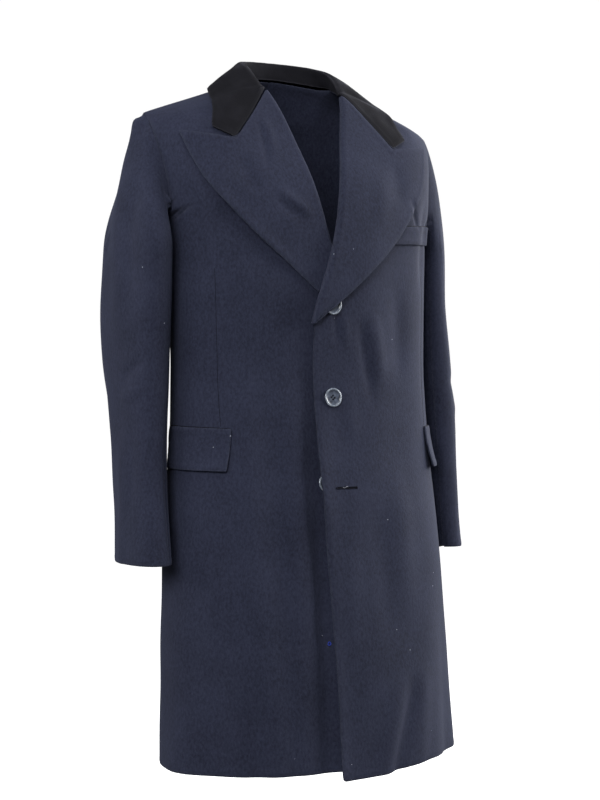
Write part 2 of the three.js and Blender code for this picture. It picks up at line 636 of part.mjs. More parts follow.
// The seven points of a station's section, from its inner edge over the fold outwards.
function collarSection(own, station) {
  const outer = collarOuter(own, station);
  const shares = [0, 0.08, 0.18, 0.32, 0.5, 0.74, 1];
  if (station.inner === 'gorge') {
    const gorgeGap = 0.9;
    const x = lerp(gorgeTop.x, notch.x, station.share) + gorgeGap * 0.72;
    const z = lerp(gorgeTop.z, notch.z, station.share) + gorgeGap * 0.69;
    const innerRise = lerp(7.2, lapelRise, smooth(station.share, 0, 0.7));
    return shares.map((share) =>
      onFront(own, lerp(x, station.outerX, share), lerp(z, station.outerZ, share), lerp(innerRise, collarRise, share)),
    );
  }
  if (station.inner === 'roll') {
    const surface = (across, rise) => frontPoint(own, across, rise);
    const rise = (gorgeTop.z + station.height - armpitZ) / (neckSide.z - armpitZ);
    const edge = surface(0, rise);
    const normal = normalOf(surface, 0, rise, own);
    const away = edge.clone().sub(surface(0.01, rise)).normalize();
    const radius = 3.6;
    const rolled = [0, 0.5, 1].map((share) => {
      const turn = degrees(lerp(station.turn, 180, share));
      return edge
        .clone()
        .addScaledVector(away, turnedGap + radius * Math.sin(turn))
        .addScaledVector(normal, radius - radius * Math.cos(turn));
    });
    if (station.turn === 180) {
      rolled[1].lerp(outer, 0.07);
      rolled[2].lerp(outer, 0.16);
    }
    const last = rolled[2];
    const laid = [0.22, 0.45, 0.72].map((share) => {
      const point = last.clone().lerp(outer, share);
      return onFront(own, own * point.x, point.z, lerp(6.6, collarRise, share));
    });
    return [...rolled, ...laid, outer];
  }
  const inner = collarInner(own, station);
  const fold = new THREE.Vector3(own * station.foldX, station.foldY, station.foldZ);
  const outwards = outer.clone().sub(fold).setZ(0).normalize();
  const foldIn = fold.clone().addScaledVector(outwards, -2.5).add(new THREE.Vector3(0, 0, -1));
  const foldOut = fold.clone().addScaledVector(outwards, 4).add(new THREE.Vector3(0, 0, -1.5));
  const swell = new THREE.Vector3(0, 0, 4).addScaledVector(outwards, 2);
  const falling = [0.22, 0.45, 0.72].map((share) =>
    foldOut.clone().lerp(outer, share).addScaledVector(swell, Math.sin(Math.PI * share)),
  );
  return [inner, foldIn, foldOut, ...falling, outer];
}

function addCollar() {
  const half = (own) => collarStations.map((station) => collarSection(own, station));
  const right = half(-1);
  const left = half(1).reverse().slice(1);
  const coarse = [...right, ...left];
  const between = 2;
  const grid = [];
  const columnCurves = coarse[0].map((_, column) =>
    new THREE.CatmullRomCurve3(coarse.map((section) => section[column]), false, 'centripetal'),
  );
  const lastStation = coarse.length - 1;
  for (let station = 0; station <= lastStation * between; station += 1) {
    grid.push(columnCurves.map((curve) => curve.getPoint(station / (lastStation * between))));
  }
  addPiece('collar', gridWall(grid, clothWall, -1), velvet);
}

// Hip pocket flaps: sewn on along the top, standing off a little at the bottom.
const flap = { thickness: 3, fromAngle: { left: 57, right: 45 }, toAngle: 95, topZ: -521, height: 63, frontDrop: 4 };
const flapStandOff = { left: 7, right: 3 };
function addFlap({ word, own }) {
  const surface = (angleShare, rise) => {
    const angle = lerp(flap.fromAngle[word], flap.toAngle, angleShare);
    const z = flap.topZ - flap.height * (1 - rise) - flap.frontDrop * (1 - angleShare);
    const point = ringPoint(own, angle, z);
    return new THREE.Vector3(own * point.x, point.y, point.z);
  };
  const seat = clothWall / 2 + seamGap + flap.thickness / 2;
  const rises = sharesBetween(0, 1, 4);
  const shares = sharesBetween(0, 1, 10);
  const grid = rises.map((rise) =>
    shares.map((share) => {
      const cutBack = 0.05 * (1 - rise) ** 2;
      const moved = lerp(share, cutBack + share * (1 - cutBack), 1 - share);
      const lift = seat + flapStandOff[word] * (1 - rise) ** 1.5 * (1 - smooth(share, 0.3, 0.8));
      return surface(moved, rise).addScaledVector(normalOf(surface, moved, rise, own), lift);
    }),
  );
  addPiece(`flap_${word}`, gridWall(grid, flap.thickness, own), wool);
}

// Breast welt on the wearer's left, its outer end a little higher and standing open.
const welt = { thickness: 3.6, innerX: 112, outerX: 201, innerZ: -249, outerZ: -243, height: 27 };
function addWelt() {
  const seat = clothWall / 2 + seamGap + welt.thickness / 2;
  const grid = sharesBetween(0, 1, 3).map((rise) =>
    sharesBetween(0, 1, 8).map((share) => {
      const x = lerp(welt.innerX, welt.outerX, share);
      const z = lerp(welt.innerZ, welt.outerZ, share) + rise * (welt.height + 3 * share);
      return onFront(1, x, z, seat + 2.6 * rise * share ** 2);
    }),
  );
  addPiece('breast_welt', gridWall(grid, welt.thickness, 1), wool);
}

// Buttons: turned discs with a raised rim.
const button = { radius: 14, thickness: 3.6, rim: 2.4, dish: 1, seat: 0.9 };
function addButton(name, own, x, z) {
  const { radius, thickness, rim, dish } = button;
  const profile = [
    [0, 0],
    [radius * 0.8, 0],
    [radius, thickness * 0.45],
    [radius - 0.5, thickness * 0.86],
    [radius - rim * 0.5, thickness],
    [radius - rim, thickness - 0.3],
    [radius - rim - 0.9, thickness - dish],
    [0, thickness - dish],
  ].map(([across, height]) => new THREE.Vector2(across, height));
  const seat = clothWall / 2 + button.seat;
  const place = onFront(own, x, z, seat);
  const outwards = onFront(own, x, z, seat + 1).sub(place).normalize();
  const mesh = new THREE.Mesh(new THREE.LatheGeometry(profile, 20), horn);
  mesh.name = name;
  mesh.position.copy(place);
  mesh.quaternion.setFromUnitVectors(new THREE.Vector3(0, 1, 0), outwards);
  overcoat.add(mesh);
}

for (const side of sides) {
  addFront(side);
  addBack(side);
  addSleeve(side);
  addLapel(side);
  addFlap(side);
}
addCollar();
addWelt();
addButton('button_top', 1, -5, -344);
addButton('button_middle', 1, -4, -480);
addButton('button_bottom', -1, 17, -609);

export default overcoat;
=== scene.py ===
import math

import bmesh
import bpy
import numpy as np
from mathutils import Matrix, Vector
from mathutils.bvhtree import BVHTree
from mathutils.kdtree import KDTree


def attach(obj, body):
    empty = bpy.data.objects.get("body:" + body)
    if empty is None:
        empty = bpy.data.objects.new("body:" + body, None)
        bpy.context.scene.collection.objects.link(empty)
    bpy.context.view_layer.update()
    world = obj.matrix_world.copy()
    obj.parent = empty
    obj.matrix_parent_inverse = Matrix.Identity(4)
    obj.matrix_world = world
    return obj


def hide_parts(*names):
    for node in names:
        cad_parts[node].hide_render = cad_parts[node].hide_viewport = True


# A navy wool overcoat with a velvet collar. Metres, +Z up, the front faces -Y and the
# wearer's left is +X. The origin is at the root of the neck.

mm = 0.001
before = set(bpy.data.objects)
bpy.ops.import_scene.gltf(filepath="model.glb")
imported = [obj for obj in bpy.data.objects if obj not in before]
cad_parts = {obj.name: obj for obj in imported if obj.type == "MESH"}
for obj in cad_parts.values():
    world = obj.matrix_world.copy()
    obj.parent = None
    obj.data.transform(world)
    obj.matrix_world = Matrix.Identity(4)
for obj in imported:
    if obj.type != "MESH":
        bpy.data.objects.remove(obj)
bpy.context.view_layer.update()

photoView = {
    "turn": 27.0,  # degrees round from straight ahead, towards the wearer's right
    "distance": 2.7,
    "height": -0.476,
    "focalPixels": 1740.0,
    "axisPixel": (287.0, 395.0),
    "imageSize": (600.0, 800.0),
    "sensorHeight": 36.0,
    "near": 0.05,
    "far": 120,
}
studio = {
    "floorHeight": -1.42,
    "floorRadius": 40.0,
    "floorSides": 96,
    "floorColour": (0.5, 0.5, 0.5, 1),
    "floorRoughness": 0.9,
    "floorGlow": 1.0,
    "domeRadius": 46.0,
    "domeSteps": 5,
    "domeColour": (0, 0, 0, 1),
    "domeGlow": 1.0,
    "white": (1.0, 1.0, 1.0, 1),
    "worldStrength": 0.17,
}
softboxes = [
    {"name": "leftKey", "place": (3.0, -1.0, 0.6), "aim": (0, 0, -0.45), "size": 1.6, "power": 150},
    {"name": "rightKey", "place": (-2.3, -2.4, 0.9), "aim": (0, 0, -0.45), "size": 1.6, "power": 112},
    {"name": "rightSide", "place": (-3.2, -0.4, 0.6), "aim": (0, 0, -0.4), "size": 1.5, "power": 26},
    {"name": "topBox", "place": (-0.2, -1.2, 2.4), "aim": (0, 0, -0.2), "size": 1.3, "power": 40},
    {"name": "leftRim", "place": (3.0, 0.7, 0.3), "aim": (0.1, 0, -0.5), "size": 1.4, "power": 80},
    {"name": "rightRim", "place": (-2.6, 1.6, 0.3), "aim": (-0.1, 0, -0.5), "size": 1.4, "power": 30},
]


def onlySelect(piece):
    bpy.ops.object.select_all(action="DESELECT")
    piece.select_set(True)
    bpy.context.view_layer.objects.active = piece


def aimAt(holder, target):
    holder.rotation_euler = (Vector(target) - holder.location).to_track_quat("-Z", "Y").to_euler()


def glowingPaint(name, colour, glow):
    paint = bpy.data.materials.new(name)
    paint.use_nodes = True
    shader = paint.node_tree.nodes["Principled BSDF"]
    shader.inputs["Base Color"].default_value = colour
    shader.inputs["Emission Color"].default_value = studio["white"]
    shader.inputs["Emission Strength"].default_value = glow
    return paint


def buildStudio():
    turn = math.radians(photoView["turn"])
    ahead = Vector((math.sin(turn), math.cos(turn), 0))
    bpy.ops.object.camera_add(location=-photoView["distance"] * ahead + Vector((0, 0, photoView["height"])))
    camera = bpy.context.object
    camera.name = "photoCamera"
    aimAt(camera, camera.location + ahead)
    width, height = photoView["imageSize"]
    lens = camera.data
    lens.sensor_fit = "VERTICAL"
    lens.sensor_height = photoView["sensorHeight"]
    lens.lens = photoView["focalPixels"] / height * photoView["sensorHeight"]
    lens.shift_x = (width / 2 - photoView["axisPixel"][0]) / height
    lens.shift_y = (photoView["axisPixel"][1] - height / 2) / height
    lens.clip_start = photoView["near"]
    lens.clip_end = photoView["far"]
    bpy.context.scene.camera = camera

    for box in softboxes:
        bpy.ops.object.light_add(type="AREA", location=box["place"])
        lamp = bpy.context.object
        lamp.name = box["name"]
        lamp.data.energy = box["power"]
        lamp.data.size = box["size"]
        aimAt(lamp, box["aim"])

    world = bpy.data.worlds.new("paleStudio")
    bpy.context.scene.world = world
    world.use_nodes = True
    sky = world.node_tree.nodes["Background"]
    sky.inputs["Color"].default_value = studio["white"]
    sky.inputs["Strength"].default_value = studio["worldStrength"]

    bpy.ops.mesh.primitive_circle_add(
        vertices=studio["floorSides"], radius=studio["floorRadius"], fill_type="NGON",
        location=(0, 0, studio["floorHeight"]),
    )
    floor = bpy.context.object
    floor.name = "studioFloor"
    bpy.ops.object.transform_apply(location=True, rotation=True, scale=True)
    paint = glowingPaint("paleFloor", studio["floorColour"], studio["floorGlow"])
    paint.node_tree.nodes["Principled BSDF"].inputs["Roughness"].default_value = studio["floorRoughness"]
    floor.data.materials.append(paint)

    # the white beyond the floor; floor and white light nothing
    bpy.ops.mesh.primitive_ico_sphere_add(subdivisions=studio["domeSteps"], radius=studio["domeRadius"])
    dome = bpy.context.object
    dome.name = "studioDome"
    dome.data.materials.append(glowingPaint("whiteDome", studio["domeColour"], studio["domeGlow"]))
    for pale in (floor, dome):
        pale.visible_diffuse = False
        pale.visible_glossy = False
        pale.visible_shadow = False
    bpy.context.scene.view_settings.view_transform = "Standard"


buildStudio()
print("camera, lights and floor")

# Colours, noise scales and the surface of each material. "tone" is the span of a noise that the
# colours cover, "bump" the strength and height in metres.
woolLook = {
    "deep": (0.0052, 0.0065, 0.0150, 1),
    "lit": (0.0225, 0.0262, 0.0495, 1),
    "fleck": (0.24, 0.26, 0.32, 1),
    "edge": (0.030, 0.034, 0.050, 1),
    "nap": 300,
    "napTone": (0.32, 0.68),
    "napShare": 0.62,
    "napBump": (0.55, 0.0006),
    "combed": (1, 1, 0.62),
    "fibre": 1500,
    "fibreBump": (0.4, 0.00025),
    "cloud": 11,
    "cloudTone": (0.25, 0.75),
    "cloudShare": 0.38,
    "edgeShare": 0.5,
    "fleckScale": 34,
    "fleckSize": 0.028,
    "fleckLeast": 0.62,
    "roughness": (0.86, 0.98),
    "surface": {"Specular IOR Level": 0.18, "Sheen Weight": 0.06, "Sheen Roughness": 0.45,
                "Sheen Tint": (0.55, 0.62, 1.0, 1)},
}
velvetLook = {
    "deep": (0.0035, 0.0035, 0.0055, 1),
    "lit": (0.0095, 0.0095, 0.0135, 1),
    "worn": (0.030, 0.030, 0.038, 1),
    "wornPower": 3.0,
    "patch": 34,
    "patchTone": (0.45, 0.75),
    "patchSheen": 0.12,
    "patchBump": (0.3, 0.0012),
    "pile": 1400,
    "pileTone": (0.3, 0.7),
    "pileBump": (0.5, 0.0003),
    "sheen": 0.02,
    "surface": {"Roughness": 0.85, "Specular IOR Level": 0.12, "Sheen Roughness": 0.28,
                "Sheen Tint": (0.72, 0.74, 0.95, 1)},
}
roughSpan = (0.2, 0.8)  # the span of a noise that the roughness covers
hornSurface = {"tone": (0.38, 0.7), "bump": (0.12, 0.0003), "warp": 1.6, "roughSpan": 0.14,
               "surface": {"Coat Weight": 0.12, "Coat Roughness": 0.2}}
hornLook = {"deep": (0.016, 0.020, 0.032, 1), "lit": (0.075, 0.092, 0.130, 1), "swirl": 90,
            "roughness": 0.26}
# the pale rim colour is a painted highlight, where the button's rim catches the light
rimLook = {"deep": (0.10, 0.12, 0.15, 1), "lit": (0.26, 0.29, 0.34, 1), "swirl": 140,
           "roughness": 0.22}
threadLook = {
    "navy": (0.0055, 0.0065, 0.0130, 1),
    "blue": (0.030, 0.060, 0.420, 1),
    "pale": (0.30, 0.31, 0.36, 1),
    # near-black, for the painted shade in buttonhole slits and along seams
    "slit": (0.002, 0.002, 0.003, 1),
    "twist": 2600,
    "tone": (0.3, 0.7),
    "dark": 0.55,
    "bump": (0.5, 0.0002),
    "surface": {"Roughness": 0.8, "Specular IOR Level": 0.1},
}


def addNode(tree, kind, place, **values):
    node = tree.nodes.new(kind)
    node.location = place
    for word, value in values.items():
        if hasattr(node, word):
            setattr(node, word, value)
        else:
            node.inputs[word.replace("_", " ")].default_value = value
    return node


def startMaterial(name):
    material = bpy.data.materials.new(name)
    material.use_nodes = True
    tree = material.node_tree
    shader = tree.nodes["Principled BSDF"]
    place = addNode(tree, "ShaderNodeTexCoord", (-1400, 0))
    return material, tree, shader, place.outputs["Object"]


def noiseAt(tree, vector, place, scale, detail, roughness):
    noise = addNode(tree, "ShaderNodeTexNoise", place, Scale=scale, Detail=detail, Roughness=roughness)
    tree.links.new(vector, noise.inputs["Vector"])
    return noise.outputs["Fac"]


def rampFrom(tree, value, place, span, to=(0, 1)):
    ramp = addNode(tree, "ShaderNodeMapRange", place, clamp=True)
    for word, number in zip(("From Min", "From Max", "To Min", "To Max"), (*span, *to)):
        ramp.inputs[word].default_value = number
    tree.links.new(value, ramp.inputs["Value"])
    return ramp.outputs["Result"]


def feed(tree, sockets, values):
    for socket, value in zip(sockets, values):
        if hasattr(value, "is_output"):
            tree.links.new(value, socket)
        else:
            socket.default_value = value


def mixColour(tree, share, first, second, place):
    mix = addNode(tree, "ShaderNodeMix", place, data_type="RGBA")
    factor = [s for s in mix.inputs if s.name == "Factor" and s.type == "VALUE"][0]
    colours = [s for s in mix.inputs if s.type == "RGBA"]
    feed(tree, (factor, *colours), (share, first, second))
    return [s for s in mix.outputs if s.type == "RGBA"][0]


def mathNode(tree, operation, place, *values):
    node = addNode(tree, "ShaderNodeMath", place, operation=operation)
    feed(tree, node.inputs, values)
    return node.outputs["Value"]


def bumpFrom(tree, height, place, bump, before=None):
    strength, distance = bump
    bump = addNode(tree, "ShaderNodeBump", place, Strength=strength, Distance=distance)
    tree.links.new(height, bump.inputs["Height"])
    if before:
        tree.links.new(before, bump.inputs["Normal"])
    return bump.outputs["Normal"]


def finishMaterial(tree, shader, look, **links):
    for word, value in look["surface"].items():
        shader.inputs[word].default_value = value
    for word, output in links.items():
        tree.links.new(output, shader.inputs[word.replace("_", " ")])


def makeWool():
    material, tree, shader, position = startMaterial("navyWool")
    look = woolLook
    combed = addNode(tree, "ShaderNodeMapping", (-1200, -200))
    combed.inputs["Scale"].default_value = look["combed"]  # the nap is brushed down the coat
    tree.links.new(position, combed.inputs["Vector"])
    cloud = noiseAt(tree, position, (-1000, 300), look["cloud"], 3, 0.5)
    nap = noiseAt(tree, combed.outputs["Vector"], (-1000, 60), look["nap"], 5, 0.65)
    fibre = noiseAt(tree, combed.outputs["Vector"], (-1000, -180), look["fibre"], 3, 0.6)
    napTone = rampFrom(tree, nap, (-780, 60), look["napTone"])
    cloudTone = rampFrom(tree, cloud, (-780, 300), look["cloudTone"])
    clouded = mathNode(tree, "MULTIPLY", (-760, 460), cloudTone, look["cloudShare"])
    tone = mathNode(tree, "MULTIPLY_ADD", (-600, 160), napTone, look["napShare"], clouded)
    base = mixColour(tree, tone, look["deep"], look["lit"], (-400, 160))
    # worn edges: lighter where the shell's own attribute says the cloth's edge is near
    near = addNode(tree, "ShaderNodeAttribute", (-1000, 560), attribute_name="edgeNear")
    worn = mathNode(tree, "MULTIPLY", (-600, 520), near.outputs["Fac"], napTone)
    worn = mathNode(tree, "MULTIPLY", (-440, 520), worn, look["edgeShare"])
    base = mixColour(tree, worn, base, look["edge"], (-220, 240))
    # specks of lint
    cells = addNode(tree, "ShaderNodeTexVoronoi", (-1000, -460), Scale=look["fleckScale"], Randomness=1.0)
    tree.links.new(position, cells.inputs["Vector"])
    close = mathNode(tree, "LESS_THAN", (-780, -460), cells.outputs["Distance"], look["fleckSize"])
    split = addNode(tree, "ShaderNodeSeparateColor", (-780, -640))
    tree.links.new(cells.outputs["Color"], split.inputs["Color"])
    chosen = mathNode(tree, "GREATER_THAN", (-600, -640), split.outputs["Red"], look["fleckLeast"])
    fleck = mathNode(tree, "MULTIPLY", (-420, -520), close, chosen)
    base = mixColour(tree, fleck, base, look["fleck"], (-20, 240))
    rough = rampFrom(tree, nap, (-400, -80), roughSpan, look["roughness"])
    grain = bumpFrom(tree, nap, (-200, -300), look["napBump"])
    grain = bumpFrom(tree, fibre, (0, -300), look["fibreBump"], grain)
    finishMaterial(tree, shader, look, Base_Color=base, Roughness=rough, Normal=grain)
    return material


def makeVelvet():
    material, tree, shader, position = startMaterial("blackVelvet")
    look = velvetLook
    patch = noiseAt(tree, position, (-1000, 300), look["patch"], 4, 0.6)
    pile = noiseAt(tree, position, (-1000, 60), look["pile"], 3, 0.6)
    patchTone = rampFrom(tree, patch, (-780, 300), look["patchTone"])
    pileTone = rampFrom(tree, pile, (-780, 60), look["pileTone"])
    tone = mathNode(tree, "MULTIPLY", (-580, 200), patchTone, pileTone)
    base = mixColour(tree, tone, look["deep"], look["lit"], (-400, 200))
    near = addNode(tree, "ShaderNodeAttribute", (-1000, 560), attribute_name="edgeNear")
    thin = mathNode(tree, "POWER", (-780, 560), near.outputs["Fac"], look["wornPower"])
    thin = mathNode(tree, "MULTIPLY", (-580, 520), thin, pileTone)
    base = mixColour(tree, thin, base, look["worn"], (-200, 240))
    sheen = mathNode(tree, "MULTIPLY_ADD", (-400, -100), patchTone, look["patchSheen"], look["sheen"])
    grain = bumpFrom(tree, pile, (-200, -300), look["pileBump"])
    grain = bumpFrom(tree, patch, (0, -300), look["patchBump"], grain)
    finishMaterial(tree, shader, look, Base_Color=base, Sheen_Weight=sheen, Normal=grain)
    return material


def makeHorn(name, look):
    material, tree, shader, position = startMaterial(name)
    swirl = noiseAt(tree, position, (-1000, 100), look["swirl"], 5, 0.55)
    swirl.node.inputs["Distortion"].default_value = hornSurface["warp"]
    tone = rampFrom(tree, swirl, (-780, 100), hornSurface["tone"])
    base = mixColour(tree, tone, look["deep"], look["lit"], (-500, 100))
    roughest = look["roughness"] + hornSurface["roughSpan"]
    rough = rampFrom(tree, swirl, (-500, -150), roughSpan, (look["roughness"], roughest))
    grain = bumpFrom(tree, swirl, (-200, -300), hornSurface["bump"])
    finishMaterial(tree, shader, hornSurface, Base_Color=base, Roughness=rough, Normal=grain)
    return material


def makeThread(name, colour):
    material, tree, shader, position = startMaterial(name)
    look = threadLook
    twist = noiseAt(tree, position, (-1000, 100), look["twist"], 2, 0.5)
    tone = rampFrom(tree, twist, (-780, 100), look["tone"])
    darker = tuple(look["dark"] * value for value in colour[:3]) + (1,)
    base = mixColour(tree, tone, darker, colour, (-500, 100))
    grain = bumpFrom(tree, twist, (-200, -300), look["bump"])
    finishMaterial(tree, shader, look, Base_Color=base, Normal=grain)
    return material


wool = makeWool()
velvet = makeVelvet()
horn = makeHorn("darkHorn", hornLook)
# pale horn for the rims' tops: a painted highlight
rimHighlightHorn = makeHorn("rimHighlightHorn", rimLook)
navyThread = makeThread("navyThread", threadLook["navy"])
blueThread = makeThread("blueThread", threadLook["blue"])
paleThread = makeThread("paleThread", threadLook["pale"])
slitShade = makeThread("slitShade", threadLook["slit"])
print("materials")

# The body's form at a few heights, in mm: it gives the way out of the cloth.
bodyForm = [
    {"z": -1030, "halfWidth": 235, "halfDepth": 146, "centreY": -70},
    {"z": -830, "halfWidth": 228, "halfDepth": 134, "centreY": -62},
    {"z": -600, "halfWidth": 216, "halfDepth": 111, "centreY": -52},
    {"z": -420, "halfWidth": 207, "halfDepth": 100, "centreY": -44},
    {"z": -222, "halfWidth": 217, "halfDepth": 112, "centreY": -26},
    {"z": 60, "halfWidth": 200, "halfDepth": 100, "centreY": 0},
]

# All creases are deepened by "scale". Each one fades over the share "endFade" of its length, and
# by "sideFade" where the form turns away from its face.
foldForm = {"scale": 1.7, "endFade": 0.35, "sideFade": 2.5}


# Width of the crease and how far it stands out (+) or sinks in (-), in mm, and its path. "only"
# keeps it to one piece, "free" lets it run out at its last point.
def crease(face, width, height, path, only=None, free=False):
    return {"face": face, "width": width, "height": height, "path": path, "only": only, "free": free}


# Creases of the body: (x, z) in mm as seen from the front or the back.
bodyFolds = [
    # the left front's edge stands off, and the right front lies back beside it
    crease("front", 18, 2.0,
           [(-22, -380), (-26, -520), (-30, -700), (-33, -1050)], only="front_left", free=True),
    crease("front", 27, -5.0,
           [(-28, -400), (-32, -520), (-34, -700), (-38, -1050)], only="front_right", free=True),
    # the right front lies back below its lapel, and the lapel's edge stands off it
    crease("front", 24, -3.4, [(-188, -150), (-150, -212), (-104, -262), (-60, -300)], only="front_right"),
    crease("front", 11, 1.5, [(-198, -120), (-166, -186), (-104, -252), (-30, -318)], only="lapel_right"),
    # the long front darts
    crease("front", 6, -1.1, [(-172, -290), (-169, -400), (-168, -525)], only="front_right"),
    crease("front", 6, -0.4, [(186, -290), (184, -400), (183, -525)], only="front_left"),
    # drag from the top button and from the chest
    crease("front", 6, -1.6, [(2, -352), (4, -376), (5, -404)]),
    crease("front", 6, 1.0, [(16, -354), (19, -380), (20, -412)]),
    crease("front", 10, -2.6, [(40, -352), (50, -394), (62, -448), (66, -500)]),
    crease("front", 15, 2.2, [(64, -340), (76, -400), (88, -470)]),
    crease("front", 14, 1.2, [(22, -440), (24, -500), (30, -560)]),
    crease("front", 18, -1.8, [(118, -300), (124, -380), (126, -470)]),
    # the skirt of the left front
    crease("front", 13, -3.2, [(118, -880), (108, -925), (92, -970), (76, -1016), (70, -1050)], free=True),
    crease("front", 17, 1.8, [(88, -880), (80, -930), (62, -985), (46, -1050)], free=True),
    crease("front", 18, 1.9, [(140, -860), (134, -930), (122, -1000), (112, -1050)], free=True),
    crease("front", 22, -1.6, [(60, -620), (68, -740), (70, -860)]),
    crease("front", 24, 1.8, [(100, -560), (108, -700), (112, -830)]),
    crease("front", 20, 1.4, [(10, -640), (6, -740), (2, -900)]),
    # the right front, from the chest down
    crease("front", 22, 1.8, [(-70, -380), (-64, -520), (-60, -700), (-58, -900)]),
    crease("front", 20, -2.2, [(-104, -420), (-100, -560), (-98, -760), (-94, -1050)], free=True),
    crease("front", 18, 2.0, [(-138, -400), (-136, -540), (-140, -700), (-142, -900)]),
    crease("front", 14, -2.0, [(-40, -620), (-36, -760), (-34, -900)]),
    crease("front", 16, -2.6, [(-150, -880), (-146, -960), (-140, -1050)], free=True),
    crease("front", 14, 2.0, [(-186, -620), (-190, -760), (-194, -900)]),
    # the chest beside the armholes
    crease("front", 12, -2.6, [(-205, -150), (-196, -200), (-188, -262), (-186, -330)]),
    crease("front", 12, -2.6, [(205, -150), (196, -205), (188, -262), (184, -330)]),
    crease("front", 15, 1.6, [(-150, -130), (-165, -170), (-172, -230)]),
    # lapels: the crease from the gorge and the soft ridges
    crease("front", 5, -1.5, [(-96, -62), (-92, -84), (-90, -116), (-94, -150)]),
    crease("front", 6, 1.1, [(-84, -60), (-78, -90), (-78, -124)]),
    crease("front", 8, 1.8, [(-88, -168), (-66, -186), (-40, -204), (-24, -214)]),
    crease("front", 9, -1.3, [(-92, -186), (-64, -206), (-36, -222)]),
    crease("front", 13, -1.4, [(-132, -116), (-126, -150), (-110, -190)]),
    crease("front", 15, -1.2, [(126, -112), (132, -150), (124, -196)]),
    crease("front", 16, 1.0, [(96, -120), (92, -180), (78, -240)]),
    crease("front", 5, -1.4, [(152, -170), (166, -200), (176, -228)]),
    # shoulders
    crease("front", 12, -1.8, [(-118, -48), (-150, -56), (-190, -74)]),
    crease("front", 12, -1.8, [(118, -48), (150, -56), (190, -74)]),
    # the back, much as a worn back hangs
    crease("back", 14, -3.0, [(-190, -120), (-176, -190), (-160, -270)]),
    crease("back", 14, -3.4, [(190, -120), (172, -185), (158, -250)]),
    crease("back", 20, 2.4, [(-150, -90), (-142, -170), (-128, -260)]),
    crease("back", 20, 2.0, [(152, -90), (140, -180), (124, -280)]),
    crease("back", 11, -1.8, [(-90, -36), (0, -52), (86, -38)]),
    crease("back", 20, -2.6, [(-60, -360), (-64, -460), (-52, -560)]),
    crease("back", 18, -2.2, [(58, -380), (70, -480), (60, -590)]),
    crease("back", 24, 4.6, [(-30, -620), (-38, -800), (-44, -1050)], free=True),
    crease("back", 22, -3.6, [(34, -680), (40, -830), (52, -1050)], free=True),
    crease("back", 24, 4.0, [(104, -600), (112, -780), (122, -1050)], free=True),
    crease("back", 22, -4.2, [(-116, -640), (-122, -820), (-128, -1050)], free=True),
    crease("back", 18, 3.0, [(-176, -700), (-180, -860), (-184, -1050)], free=True),
]

# Creases of the sleeves: (y, z) in mm as seen from outside or from the body's side.
sleeveFolds = {
    "right": [
        # the front of the right sleeve turns in towards the body
        crease("inner", 30, -1.6,
               [(-60, -110), (-92, -200), (-98, -280), (-92, -400), (-84, -500), (-96, -600), (-112, -730)],
               free=True),
        # the sleeve heads stand a little proud of the shoulder
        crease("outer", 15, 2.8, [(-44, -84), (-20, -68), (8, -64), (36, -78)]),
        crease("outer", 16, -3.0, [(-42, -120), (-54, -190), (-58, -280), (-52, -380)]),
        crease("outer", 18, 1.8, [(-14, -110), (-22, -200), (-24, -320), (-20, -420)]),
        crease("outer", 18, -2.0, [(20, -120), (24, -200), (22, -300)]),
        crease("outer", 7, 1.4, [(4, -232), (18, -246), (36, -266)]),
        crease("outer", 9, -2.2, [(-78, -420), (-60, -440), (-30, -452)]),
        crease("outer", 9, 1.6, [(-76, -462), (-56, -476), (-28, -484)]),
        crease("outer", 13, -1.8, [(-60, -500), (-70, -580), (-78, -660)]),
        crease("outer", 16, 1.4, [(-30, -520), (-46, -620), (-56, -720)], free=True),
        crease("outer", 14, -1.8, [(46, -420), (40, -520), (20, -620)]),
        crease("inner", 9, -2.4, [(-40, -420), (-20, -440), (20, -446)]),
        crease("inner", 9, -2.0, [(-50, -480), (-26, -500), (10, -508)]),
    ],
    "left": [
        crease("outer", 15, 1.6, [(-44, -84), (-20, -68), (8, -64), (36, -78)]),
        crease("outer", 16, -2.4, [(-40, -130), (-46, -210), (-44, -320), (-40, -420)]),
        crease("outer", 18, 1.8, [(-6, -120), (-8, -220), (-6, -350)]),
        crease("outer", 17, -2.2, [(32, -130), (38, -220), (38, -330)]),
        crease("outer", 11, -1.5, [(-60, -440), (-40, -462), (-8, -470)]),
        crease("outer", 11, 1.0, [(-58, -486), (-34, -500), (0, -508)]),
        crease("outer", 15, -1.6, [(-36, -530), (-40, -620), (-42, -720)], free=True),
        crease("outer", 17, 1.4, [(10, -520), (6, -620), (2, -720)], free=True),
        crease("inner", 9, -2.2, [(-30, -430), (-6, -446), (34, -452)]),
        crease("inner", 9, -1.8, [(-34, -490), (-8, -508), (26, -514)]),
    ],
}

# The cloth is never quite flat: broad, very shallow waves that run mostly up and down. Each row
# is a length in metres and a height in mm.
waveSizes = [(0.31, 0.9), (0.23, 0.8), (0.17, 0.7), (0.12, 0.55), (0.085, 0.40), (0.06, 0.26)]
waveLean = (1.0, 1.0, 0.35)
waveShare = 0.5
waveRandom = np.random.default_rng(7)
softWaves = [
    {
        "way": waveRandom.normal(size=3) * np.array(waveLean),
        "length": length,
        "height": height,
        "start": waveRandom.uniform(0, 2 * math.pi),
    }
    for length, height in waveSizes
    for _ in range(2)
]


def formAt(z, column):
    rows = sorted(bodyForm, key=lambda row: row["z"])
    return np.interp(z, [row["z"] * mm for row in rows], [row[column] * mm for row in rows])


